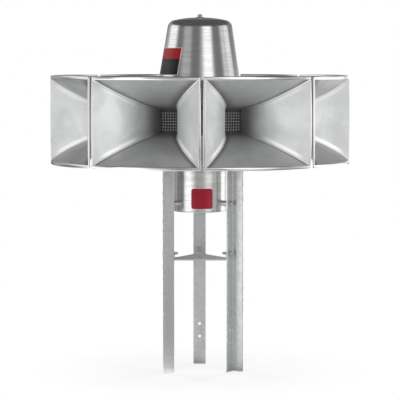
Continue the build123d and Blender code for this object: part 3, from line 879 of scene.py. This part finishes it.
def horn_material(finishes, centre_height):
    """Welded aluminium sheet: clouded walls, painted shade that darkens them by the throat, on the top and
    bottom walls, outside and beside the seams, painted highlights in strips beside the lower seams, faint
    beads and bright worn lips. The flare mark runs from 0 at the throat to 1 at the mouth, and is above 1
    on the lip and below 0 outside. The seam mark is the distance to the seam, in metres, and is below 0 on
    the sides."""
    material, tree, shader, place = start_material("Horn sheet", metallic=0.5)
    mask, fine = mottle(tree, place, 6.0, 0.22)
    painted_shade, worn = tuple(finishes.painted_shade), tuple(finishes.lip)
    along = mark(tree, "flare")
    seam = mark(tree, "seam")
    height = part(tree, place, "Z")
    middle_zone = 0.03

    def by_height(below, above):
        """One value under the horn's middle, and another from the middle up."""
        return remap(tree, height, centre_height - middle_zone, centre_height, below, above)

    inside = remap(tree, along, -0.005, 0.002)
    outside = remap(tree, along, -0.03, -0.01, 1.0, 0.0)
    by_throat = remap(tree, along, 0.05, 0.34, 1.0, 0.0)
    on_flat = remap(tree, seam, 0.0, 0.004)
    flat_shade_share = remap(tree, along, 0.0, 0.5, 0.66, 0.46)
    base = blend(tree, mask, scaled(finishes.horn, 0.88), scaled(finishes.horn, 1.07))
    # Painted shade: the inner walls darken towards the throat, where shade falls deep in the horn.
    base = blend(tree, product(tree, by_throat, inside, 0.74), base, painted_shade)
    # Painted shade: the top and bottom walls are darker than the side walls because less light falls on
    # them, most of all near the throat.
    base = blend(tree, product(tree, on_flat, inside, flat_shade_share), base, painted_shade)
    # Painted shade: the outside walls, between and behind the horns, are darkened.
    base = blend(tree, product(tree, outside, 0.5), base, painted_shade)

    # Painted highlight: a bright strip on each side wall beside the lower seam. It is fainter above the
    # horn's middle and less metallic.
    on_side = remap(tree, seam, -0.004, -0.002, 1.0, 0.0)
    strip = remap(tree, seam, -0.027, -0.014)
    strip_start = remap(tree, along, 0.28, 0.5)
    strip_end = remap(tree, along, 0.8, 0.97, 1.0, 0.0)
    painted_highlight = product(tree, on_side, strip, strip_start, strip_end, by_height(1.0, 0.35))
    base = blend(tree, product(tree, painted_highlight, 0.95), base, (1.0, 1.0, 1.0, 1.0))

    # Painted shade: dark bands beside the seams on the top and bottom walls, wider by the upper seams, and
    # beside the upper seams on the side walls. Noise breaks them up.
    patchy = remap(tree, fine, 0.35, 0.62, 0.72, 1.0)
    flat_start = remap(tree, seam, 0.0004, 0.0025)
    flat_end = remap(tree, seam, 0.004, by_height(0.030, 0.056), 1.0, 0.0)
    side_start = remap(tree, seam, -0.0025, -0.0008, 1.0, 0.0)
    side_end = remap(tree, seam, -0.005, -0.0035)
    on_flat_edge = product(tree, flat_start, flat_end, 0.85)
    on_side_edge = product(tree, side_start, side_end, by_height(0.0, 0.4))
    beside = math(tree, "MAXIMUM", on_flat_edge, on_side_edge)
    base = blend(tree, product(tree, beside, patchy, inside), base, painted_shade)

    on_bead = remap(tree, math(tree, "ABSOLUTE", seam), 0.0, 0.0012, 1.0, 0.0)
    bead_wear = remap(tree, along, 0.3, 0.8, 0.05, 0.5)
    on_lip = remap(tree, along, 1.02, 1.15)
    base = blend(tree, product(tree, on_bead, bead_wear), base, worn)
    base = blend(tree, on_lip, base, worn)
    tree.links.new(base, shader.inputs["Base Color"])

    bare = remap(tree, on_lip, 0.0, 1.0, 0.5, 1.0)
    bare = math(tree, "SUBTRACT", bare, product(tree, painted_highlight, 0.35))
    tree.links.new(bare, shader.inputs["Metallic"])
    rough = remap(tree, mask, 0.0, 1.0, 0.52, 0.40)
    rough = math(tree, "SUBTRACT", rough, product(tree, on_lip, 0.3))
    tree.links.new(rough, shader.inputs["Roughness"])
    off_lip = remap(tree, on_lip, 0.0, 1.0, 1.0, 0.0)
    skin = product(tree, math(tree, "ADD", fine, mask), off_lip)
    bump(tree, shader, math(tree, "ADD", skin, on_lip), 0.0005, 0.3)
    return material


def spun_material(name, shade, scale, rough):
    """Spun or drawn sheet: fine rings in colour, gloss and bump over faint clouds."""
    material, tree, shader, place = start_material(name, metallic=1.0)
    rings = group_node(tree, "Spun lines", {"Vector": place, "Scale": scale})
    lines = rings.outputs["Lines"]
    mask, _ = mottle(tree, place, 11.0, 0.4)
    base = blend(tree, lines, scaled(shade, 0.91), scaled(shade, 1.06))
    base = blend(tree, product(tree, mask, 0.15), base, scaled(shade, 0.82))
    tree.links.new(base, shader.inputs["Base Color"])
    tree.links.new(remap(tree, lines, 0.0, 1.0, rough + 0.015, rough - 0.01), shader.inputs["Roughness"])
    bump(tree, shader, rings.outputs["Height"], 0.0001, 0.12)
    return material


def zinc_material(finishes):
    """Hot-dip galvanised steel: spangle, dull clouds and streaks down the leg."""
    material, tree, shader, place = start_material("Galvanised steel", metallic=0.93)
    spangle = group_node(tree, "Zinc spangle", {"Vector": place, "Scale": 95.0})
    crystals = spangle.outputs["Mask"]
    stretched = add_node(tree, "ShaderNodeMapping", {"Vector": place, "Scale": (1.0, 1.0, 0.22)})
    mask, fine = mottle(tree, stretched.outputs[0], 16.0, 0.4)
    base = blend(tree, crystals, scaled(finishes.zinc, 0.86), scaled(finishes.zinc, 1.16))
    base = blend(tree, product(tree, mask, 0.45), base, scaled(finishes.zinc, 1.22))
    tree.links.new(base, shader.inputs["Base Color"])
    tree.links.new(remap(tree, crystals, 0.2, 0.8, 0.42, 0.31), shader.inputs["Roughness"])
    bump(tree, shader, math(tree, "ADD", spangle.outputs["Height"], fine), 0.0008, 0.4)
    return material


def plain_metal(name, shade, metallic, rough, dust=0.2):
    """A cast, plated or rolled piece: grainy skin with clouds, and dust on what faces up."""
    material, tree, shader, place = start_material(name, metallic=metallic)
    mask, fine = mottle(tree, place, 22.0, 0.5)
    base = blend(tree, mask, scaled(shade, 0.82), scaled(shade, 1.12))
    facing_up = part(tree, tree.nodes.new("ShaderNodeNewGeometry").outputs["Normal"], "Z")
    settled = product(tree, remap(tree, facing_up, 0.5, 1.0), dust)
    base = blend(tree, product(tree, settled, mask), base, DUST)
    tree.links.new(base, shader.inputs["Base Color"])
    tree.links.new(remap(tree, fine, 0.3, 0.7, rough - 0.07, rough + 0.09), shader.inputs["Roughness"])
    bump(tree, shader, fine, 0.0005, 0.4)
    return material


def plate_material(name, upper, lower, border, split):
    """A blank printed plate: two colours that meet at a height, inside a border, faintly scuffed. The
    edge mark is the distance to the plate's nearest edge."""
    material, tree, shader, place = start_material(name, metallic=0.0)
    shader.inputs["Roughness"].default_value = 0.30
    shader.inputs["Specular IOR Level"].default_value = 0.3
    mask, fine = mottle(tree, place, 30.0, 0.5)
    blur = 0.0004
    above = remap(tree, part(tree, place, "Z"), split - blur, split + blur)
    base = blend(tree, above, tuple(lower), tuple(upper))
    base = blend(tree, product(tree, mask, 0.015), base, tuple(border))
    base = blend(tree, remap(tree, mark(tree, "edge"), 0.0018, 0.0026, 1.0, 0.0), base, tuple(border))
    tree.links.new(base, shader.inputs["Base Color"])
    bump(tree, shader, fine, 0.00003, 0.1)
    return material


def make_materials():
    """Every finish, by name."""
    f = settings("finishes")
    mottle_group()
    spun_group()
    spangle_group()
    split = settings("dome").plate_split
    badge_middle = settings("housing").badge_middle
    return {
        "horn": horn_material(f, settings("horns").centre_height),
        "dome": spun_material("Spun dome", f.spun, 100.0, 0.18),
        "housing": spun_material("Drawn can", f.housing, 60.0, 0.25),
        "zinc": zinc_material(f),
        "casting": plain_metal("Dark casting", f.casting, 0.3, 0.6),
        "plate": plain_metal("Drum plate", f.plate, 0.6, 0.5),
        "cage": plain_metal("Cage sheet", f.wire, 0.7, 0.42),
        "bolt": plain_metal("Plated bolts", f.bolt, 0.8, 0.40),
        "wire": plain_metal("Screen wire", f.wire, 0.25, 0.45, dust=0.0),
        "dome plate": plate_material("Blank dome plate", f.red, f.black, f.border, split),
        "badge": plate_material("Blank badge", f.crimson, f.crimson, scaled(f.crimson, 1.25), badge_middle),
    }


MATERIALS = {}


# Operators


class SIREN_OT_finishes(bpy.types.Operator):
    """Make the finishes and give them to the pieces that stay as they are"""

    bl_idname = "siren.finishes"
    bl_label = "Finishes"

    def execute(self, context):
        MATERIALS.update(make_materials())
        galvanised = [f"{piece}_{side}" for piece in ("leg", "housing_spacer") for side in SIDES]
        kept = {
            "zinc": [*galvanised, "brace_plate"],
            "casting": ["stator_housing"],
            "plate": ["stator_top_plate", "stator_bottom_plate"],
            "cage": ["intake_cage"],
            "bolt": ["dome_tie_rod"],
        }
        for finish, nodes in kept.items():
            for node in nodes:
                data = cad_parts[node].data
                data.materials.clear()
                data.materials.append(MATERIALS[finish])
        return {"FINISHED"}


class SIREN_OT_horns(bpy.types.Operator):
    """Build the eight flared horns"""

    bl_idname = "siren.horns"
    bl_label = "Horns"

    def execute(self, context):
        s = settings("horns")
        points, seam, t = wrapped_sections(horn_stations(s), ring_samples(25, 7))
        for number in range(HORN_COUNT):
            placed = turned(points, HORN_STEP * (number + 0.5), s.centre_height)
            make_piece(
                f"flared_horn_{number + 1}",
                [grid(placed, wrap_rows=True, wrap_columns=True, seam=seam, flare=t)],
                MATERIALS["horn"],
                [f"horn_{number + 1}"],
            )
        return {"FINISHED"}


class SIREN_OT_screens(bpy.types.Operator):
    """Build the woven screens in the throats"""

    bl_idname = "siren.screens"
    bl_label = "Throat screens"

    def execute(self, context):
        horns = settings("horns")
        grids = screen_grids(horns, settings("screens"))
        for number in range(HORN_COUNT):
            angle = HORN_STEP * (number + 0.5)
            make_piece(
                f"woven_screen_{number + 1}",
                moved(grids, lambda p, angle=angle: turned(p, angle, horns.centre_height)),
                MATERIALS["wire"],
                [f"throat_screen_{number + 1}"],
            )
        return {"FINISHED"}


class SIREN_OT_dome(bpy.types.Operator):
    """Build the spun dome, its nut and its blank plate"""

    bl_idname = "siren.dome"
    bl_label = "Weather dome"

    def execute(self, context):
        s = settings("dome")
        make_piece(
            "spun_dome",
            [grid(revolved(dome_profile(s), 128), wrap_rows=True, wrap_columns=True)],
            MATERIALS["dome"],
            ["weather_dome"],
        )
        self.wing_nut()
        self.blank_plate(s)
        return {"FINISHED"}

    def wing_nut(self):
        """A washer, a hexagon hub and two ears. An ear is rings carried up and outward along an arc."""
        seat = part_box("dome_wing_nut")[0].z
        b = settings("fasteners")
        washer = washer_grid(b.shank + b.rod_clearance, b.wing_washer, 0, b.washer_thickness)
        hub = hex_grid(b.washer_thickness, b.wing_hub, b.wing_flats, both=True)
        grids = moved([washer, hub], lambda p: upright(p, (0, 0, seat)))
        a = np.linspace(0, 2 * pi, 14, endpoint=False)[None, :]
        rise = np.linspace(0, 1, 14)[:, None]
        girth = np.array([0, 3.0, 3.4, 3.6, 3.7, 3.7, 3.6, 3.5, 3.4, 3.3, 3.1, 2.6, 1.6, 0])[:, None] / 1000
        for sign in (-1, 1):
            x = sign * b.wing_reach * (1 + np.sin(rise * pi / 2)) + 0.8 * girth * np.cos(a)
            y = 0.45 * girth * np.sin(a)
            z = seat + b.washer_thickness + b.wing_foot + b.wing_rise * rise + 0 * a
            grids.append(grid(np.stack([x, y, z], -1), wrap_columns=True))
        make_piece("wing_nut", grids, MATERIALS["bolt"], ["dome_wing_nut"])

    def blank_plate(self, s):
        """The blank two-colour plate on the dome's left, laid on the taper."""
        slope = (s.rim_radius - s.shoulder_radius) / (s.shoulder_height - s.rim_height)
        middle_height = (s.plate_top + s.plate_bottom) / 2
        middle_radius = s.rim_radius - (middle_height - s.rim_height) * slope

        def lay(y, z, lift):
            """Across becomes an angle round the cone, up becomes height on it."""
            height = middle_height + z
            radius = middle_radius - z * slope + 2 * s.spin_depth + lift
            angle = s.plate_angle + y / radius
            return np.stack([radius * np.cos(angle), radius * np.sin(angle), height], -1)

        made = patch_grid(s.plate_width, s.plate_top - s.plate_bottom, 0.003, 0.0005, lay)
        make_piece("blank_plate_dome", [made], MATERIALS["dome plate"])


class SIREN_OT_housing(bpy.types.Operator):
    """Build the motor housing and its blank badge"""

    bl_idname = "siren.housing"
    bl_label = "Motor housing"

    def execute(self, context):
        s = settings("housing")
        low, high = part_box("motor_housing")
        profile = housing_profile(s, low.z, high.z, high.x)
        make_piece(
            "drawn_can",
            [grid(revolved(profile, 96), wrap_columns=True)],
            MATERIALS["housing"],
            ["motor_housing"],
        )

        def lay(y, z, lift):
            """Across becomes an angle about the can, up stays up."""
            radius = s.radius + 2 * s.ripple + lift
            angle = s.badge_angle + y / s.radius
            return np.stack([radius * np.cos(angle), radius * np.sin(angle), s.badge_middle + z], -1)

        made = patch_grid(s.badge_width, s.badge_height, 0.012, 0.0005, lay)
        make_piece("blank_badge", [made], MATERIALS["badge"])
        return {"FINISHED"}


class SIREN_OT_fasteners(bpy.types.Operator):
    """Build the bolts of the legs, flanges and plates"""

    bl_idname = "siren.fasteners"
    bl_label = "Fasteners"

    def execute(self, context):
        b = settings("fasteners")
        legs = settings("legs")
        nut_seat = legs.face_radius - legs.lug - 2 * legs.clearance
        for kind in ("brace", "housing"):
            low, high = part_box(f"{kind}_bolt_rear")
            height = (low.z + high.z) / 2
            seat = high.y - b.head - b.washer_thickness
            grids = [
                threaded_grid(low.y, high.y - b.head / 2, b.shank, b.pitch, b.thread),
                washer_grid(b.shank * 0.8, b.washer, seat, b.washer_thickness),
                hex_grid(seat + b.washer_thickness, b.head, b.flats, turn=0.2),
            ]
            if kind == "brace":
                washer_seat = nut_seat - b.washer_thickness
                grids.append(washer_grid(b.shank * 0.8, b.washer, washer_seat, b.washer_thickness))
                grids.append(hex_grid(washer_seat, -b.nut, b.flats, turn=0.5, both=True))
            for side, angle in SIDES.items():
                make_piece(
                    f"{kind}_hex_bolt_{side}",
                    moved(grids, lambda p, angle=angle: turned(p, angle, height)),
                    MATERIALS["bolt"],
                    [f"{kind}_bolt_{side}"],
                )
        self.flange_bolts(b)
        self.plate_bolts(b)
        return {"FINISHED"}

    def flange_bolts(self, b):
        """Six small bolts through each throat flange, heads outward."""
        s = settings("horns")
        half_y = s.throat_half_width + b.flange_inset * s.flange_margin
        half_z = s.throat_half_height + b.flange_inset * s.flange_margin
        front = s.throat_radius + s.flange_thickness
        bolt = [
            washer_grid(b.small_shank, b.flange_washer, front, b.small_washer),
            hex_grid(front + b.small_washer, b.small_head, b.small_flats),
            hex_grid(front - b.flange_grip, -b.small_head, b.small_flats, both=True),
        ]
        grids = []
        for number in range(HORN_COUNT):
            angle = HORN_STEP * (number + 0.5)
            for y in (-half_y, 0, half_y):
                for z in (-half_z, half_z):
                    place = np.array([0, y, z])
                    grids += moved(bolt, lambda p, a=angle, q=place: turned(p + q, a, s.centre_height))
        make_piece("flange_bolts", grids, MATERIALS["bolt"])

    def plate_bolts(self, b):
        """Rings of small bolts that hold the drum's two plates to the casting."""
        _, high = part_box("stator_top_plate")
        faces = ((high.z, 1), (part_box("stator_bottom_plate")[0].z, -1))
        ring = high.x - b.plate_inset
        step = 360 / b.plate_bolts
        grids = []
        for number in range(b.plate_bolts):
            angle = radians((number + 0.5) * step)
            x, y = ring * np.cos(angle), ring * np.sin(angle)
            bolt = [
                washer_grid(b.small_shank, b.plate_washer, 0, b.small_washer),
                hex_grid(b.small_washer, b.small_head, b.small_flats, turn=angle),
            ]
            for z, sign in faces:
                grids += moved(bolt, lambda p, x=x, y=y, z=z, sign=sign: upright(p, (x, y, z), sign))
        make_piece("plate_bolts", grids, MATERIALS["bolt"])


class SIREN_OT_drips(bpy.types.Operator):
    """Build the drips of zinc on the legs' edges"""

    bl_idname = "siren.drips"
    bl_label = "Zinc drips"

    def execute(self, context):
        random = np.random.default_rng(7)
        s = settings("legs")
        toe = s.face_radius + s.width
        edge_middle = s.root_side - s.thickness / 2
        a = np.linspace(0, 2 * pi, 10, endpoint=False)[None, :]
        run = np.linspace(0, 1, 9)[:, None]
        sunk, astray = 0.0008, 0.0015
        for side, angle in SIDES.items():
            grids = []
            for height in np.sort(random.uniform(s.lowest_drip, s.highest_drip, s.drips)):
                tall = random.uniform(s.drip_short, s.drip_long)
                girth = random.uniform(s.drip_thin, s.drip_thick)
                body = girth * np.sin(pi * run**0.7)
                x = toe - sunk + body * np.cos(a)
                y = edge_middle + random.uniform(-astray, astray) + body * np.sin(a)
                z = height - tall * run + 0 * a
                grids.append(grid(np.stack([x, y, z], -1), wrap_columns=True))
            make_piece(
                f"zinc_drips_{side}",
                moved(grids, lambda p, angle=angle: turned(p, angle)),
                MATERIALS["zinc"],
            )
        return {"FINISHED"}


class SIREN_OT_stage(bpy.types.Operator):
    """Set up the floor, surround, lamps, world and camera"""

    bl_idname = "siren.stage"
    bl_label = "Stage"

    def execute(self, context):
        s = settings("stage")
        self.floor()
        self.surround(s)
        self.world(s)
        self.lamps(s)
        data = bpy.data.cameras.new("camera")
        data.lens = s.lens
        data.sensor_width = 36.0
        data.clip_end = 100.0
        camera = add_object("camera", data)
        x, y = s.distance * np.sin(s.azimuth), -s.distance * np.cos(s.azimuth)
        camera.location = (x, y, s.eye_height)
        drop = atan((s.eye_height - s.aim_height) / s.distance)
        camera.rotation_euler = (pi / 2 - drop, 0, s.azimuth)
        context.scene.camera = camera
        context.scene.view_settings.view_transform = "Standard"
        return {"FINISHED"}

    def stage_mesh(self, name, points, material):
        """A stage piece from one grid of points."""
        mesh = bpy.data.meshes.new(name)
        rows, columns = points.shape[:2]
        mesh.from_pydata(points.reshape(-1, 3), [], grid_faces(rows, columns, False, False))
        mesh.materials.append(material)
        piece = add_object(name, mesh)
        return piece

    def floor(self):
        """A pale floor that takes the object's shadow, and looks plain white away from it."""
        material = bpy.data.materials.new("Floor")
        material.use_nodes = True
        tree = material.node_tree
        shader = tree.nodes["Principled BSDF"]
        shader.inputs["Base Color"].default_value = (0.86, 0.86, 0.86, 1)
        shader.inputs["Roughness"].default_value = 0.9
        shader.inputs["Specular IOR Level"].default_value = 0.0
        white = add_node(tree, "ShaderNodeEmission", {"Color": (1, 1, 1, 1), "Strength": 1.0})
        place = tree.nodes.new("ShaderNodeTexCoord").outputs["Object"]
        away = add_node(tree, "ShaderNodeVectorMath", {0: place}, operation="LENGTH").outputs["Value"]
        far = remap(tree, away, 0.25, 0.9, 0.82, 1.0)
        mixed = add_node(tree, "ShaderNodeMixShader", {0: product(tree, far, seen_by_eye(tree))})
        tree.links.new(shader.outputs[0], mixed.inputs[1])
        tree.links.new(white.outputs[0], mixed.inputs[2])
        tree.links.new(mixed.outputs[0], tree.nodes["Material Output"].inputs["Surface"])
        across = np.linspace(-30, 30, 3)
        y, x = np.meshgrid(across, across, indexing="ij")
        self.stage_mesh("floor", np.stack([x, y, 0 * x], -1), material)

    def card_ramp(self, tree, turn, cards):
        """The brightness of the cards round the object at each angle, from behind and back again."""
        ramp = tree.nodes.new("ShaderNodeValToRGB")
        tree.links.new(turn, ramp.inputs["Fac"])
        stops = ramp.color_ramp.elements
        while len(stops) < len(cards):
            stops.new(0.5)
        for stop, (angle, level) in zip(stops, cards):
            stop.position = angle / 360 + 0.5
            stop.color = (level, level, level, 1)
        return ramp.outputs["Color"]

    def surround(self, s):
        """Grey and white cards round the object, which only its metal reflects. Each row lists angles in
        degrees, from 0 in front over 90 at the right, with the brightness there. The rows stand one over
        another, from the ground up to a dark ceiling."""
        material = bpy.data.materials.new("Cards")
        material.use_nodes = True
        tree = material.node_tree
        tree.nodes.remove(tree.nodes["Principled BSDF"])
        place = tree.nodes.new("ShaderNodeTexCoord").outputs["Object"]
        parts = add_node(tree, "ShaderNodeSeparateXYZ", {"Vector": place})
        front = product(tree, parts.outputs["Y"], -1.0)
        turn = math(tree, "DIVIDE", math(tree, "ARCTAN2", parts.outputs["X"], front), 2 * pi)
        turn = math(tree, "ADD", turn, 0.5)
        deep, dark, grey, dim, pale, white = 0.06, 0.14, 0.28, 0.35, 0.44, 1.0
        ground = [
            (-180, 0.16), (-126, 0.16), (-100, 0.24), (-82, white), (-38, white), (-24, 0.5), (36, 0.5),
            (46, 0.16), (84, 0.16), (102, white), (140, white), (156, pale), (180, 0.16),
        ]
        lower = [
            (-180, deep), (-152, deep), (-141, dim), (-130, 0.3), (-118, 0.08), (-100, 0.1), (-86, white),
            (-40, white), (-28, 0.6), (-18, deep), (18, deep), (34, 0.6), (54, 0.6), (60, grey), (74, 0.5),
            (92, white), (146, white), (155, deep), (180, deep),
        ]
        middle_row = [
            (-180, grey), (-140, grey), (-112, grey), (-100, 0.7), (-84, 0.7), (-76, grey), (-66, dim),
            (-61, white), (-44, white), (-37, dim), (-12, dim), (-8, 0.6), (8, 0.6), (13, dim), (18, white),
            (48, white), (56, dim), (80, dim), (85, white), (98, white), (106, 0.8), (134, 0.8),
            (142, grey), (150, white), (172, white), (180, grey),
        ]
        upper = [
            (-180, 0.16), (-152, 0.16), (-141, dim), (-129, dim), (-121, 0.85), (-90, 0.85), (-80, dark),
            (-62, dark), (-53, dim), (-33, dim), (-25, dark), (-4, dark), (7, pale), (12, white),
            (34, white), (43, dark), (68, dark), (78, 0.62), (87, 0.42), (94, 0.72), (110, 0.66),
            (118, dark), (140, 0.2), (180, 0.16),
        ]
        rows = ((lower, 0.05, 0.3), (middle_row, 0.76, 0.86), (upper, 1.7, 2.2))
        base = self.card_ramp(tree, turn, ground)
        for cards, start, end in rows:
            rise = remap(tree, parts.outputs["Z"], start, end)
            base = blend(tree, rise, base, self.card_ramp(tree, turn, cards))
        ceiling_shade = (0.075, 0.075, 0.075, 1)
        base = blend(tree, remap(tree, parts.outputs["Z"], 3.5, 4.5), base, ceiling_shade)
        light = add_node(tree, "ShaderNodeEmission", {"Color": base, "Strength": s.card_level})
        tree.links.new(light.outputs[0], tree.nodes["Material Output"].inputs["Surface"])
        axis, foot = 0.001, 0.004
        profile = [(axis, foot), (s.card_radius, foot), (s.card_radius, s.ceiling), (axis, s.ceiling)]
        points = revolved(np.array(profile), 96)
        points = np.concatenate([points, points[:, :1]], 1)
        cards_piece = self.stage_mesh("cards", points, material)
        cards_piece.visible_camera = False
        cards_piece.visible_diffuse = False
        cards_piece.visible_shadow = False
        cards_piece.visible_transmission = False

    def world(self, s):
        """White where the camera, metal or glass looks. What lights the object is dimmer, and darker
        still from above."""
        world = bpy.data.worlds.new("world")
        world.use_nodes = True
        tree = world.node_tree
        tree.nodes.clear()
        direction = tree.nodes.new("ShaderNodeTexCoord").outputs["Generated"]
        light = remap(tree, part(tree, direction, "Z"), 0.0, 0.9, s.sky, s.zenith)
        strength = math(tree, "MAXIMUM", seen_by_eye(tree), light)
        back = add_node(tree, "ShaderNodeBackground", {"Color": (1, 1, 1, 1), "Strength": strength})
        out = tree.nodes.new("ShaderNodeOutputWorld")
        tree.links.new(back.outputs[0], out.inputs["Surface"])
        bpy.context.scene.world = world

    def lamps(self, s):
        """Two tall soft lamps at the sides, a weak one in front and two higher ones behind, which metal
        doesn't reflect. Each has a place, a size and a share of the power."""
        places = {
            "left_lamp": ((-3.7, -3.8, 1.5), (1.6, 3.0), 0.70),
            "right_lamp": ((3.9, -3.6, 1.5), (1.6, 3.0), 1.02),
            "front_lamp": ((-1.4, -6.0, 1.6), (2.0, 2.0), 0.10),
            "back_left_lamp": ((-3.4, 3.8, 3.2), (1.6, 2.4), 0.8),
            "back_right_lamp": ((3.4, 3.8, 3.2), (1.6, 2.4), 0.8),
        }
        for name, (place, size, power_share) in places.items():
            data = bpy.data.lights.new(name, "AREA")
            data.shape = "RECTANGLE"
            data.size, data.size_y = size
            data.energy = power_share * s.lamp_power
            lamp = add_object(name, data)
            lamp.location = place
            x, y, z = (-place[0], -place[1], s.lamp_aim - place[2])
            lamp.rotation_euler = (pi / 2 + atan(z / hypot(x, y)), 0, np.arctan2(-x, y))
            lamp.visible_glossy = False


class SIREN_PT_panel(bpy.types.Panel):
    """Lists the steps and the sizes"""

    bl_idname = "SIREN_PT_panel"
    bl_label = "Siren"
    bl_space_type = "VIEW_3D"
    bl_region_type = "UI"
    bl_category = "Siren"

    def draw(self, context):
        for operator in OPERATORS:
            self.layout.operator(operator.bl_idname)
        for group, kind in GROUPS.items():
            box = self.layout.box()
            box.label(text=group.capitalize())
            for name in kind.__annotations__:
                box.prop(getattr(context.scene, f"siren_{group}"), name)


OPERATORS = (
    SIREN_OT_finishes,
    SIREN_OT_horns,
    SIREN_OT_screens,
    SIREN_OT_dome,
    SIREN_OT_housing,
    SIREN_OT_fasteners,
    SIREN_OT_drips,
    SIREN_OT_stage,
)
CLASSES = (*GROUPS.values(), *OPERATORS, SIREN_PT_panel)


def register():
    """Makes the classes known to Blender, and puts the sizes on the scene."""
    for kind in CLASSES:
        bpy.utils.register_class(kind)
    for group, kind in GROUPS.items():
        setattr(bpy.types.Scene, f"siren_{group}", bpy.props.PointerProperty(type=kind))


def unregister():
    """Takes the classes and sizes away again."""
    for group in GROUPS:
        delattr(bpy.types.Scene, f"siren_{group}")
    for kind in reversed(CLASSES):
        bpy.utils.unregister_class(kind)


def main():
    """Builds everything in order."""
    register()
    for operator in OPERATORS:
        group, name = operator.bl_idname.split(".")
        getattr(getattr(bpy.ops, group), name)()


if __name__ == "__main__":
    main()
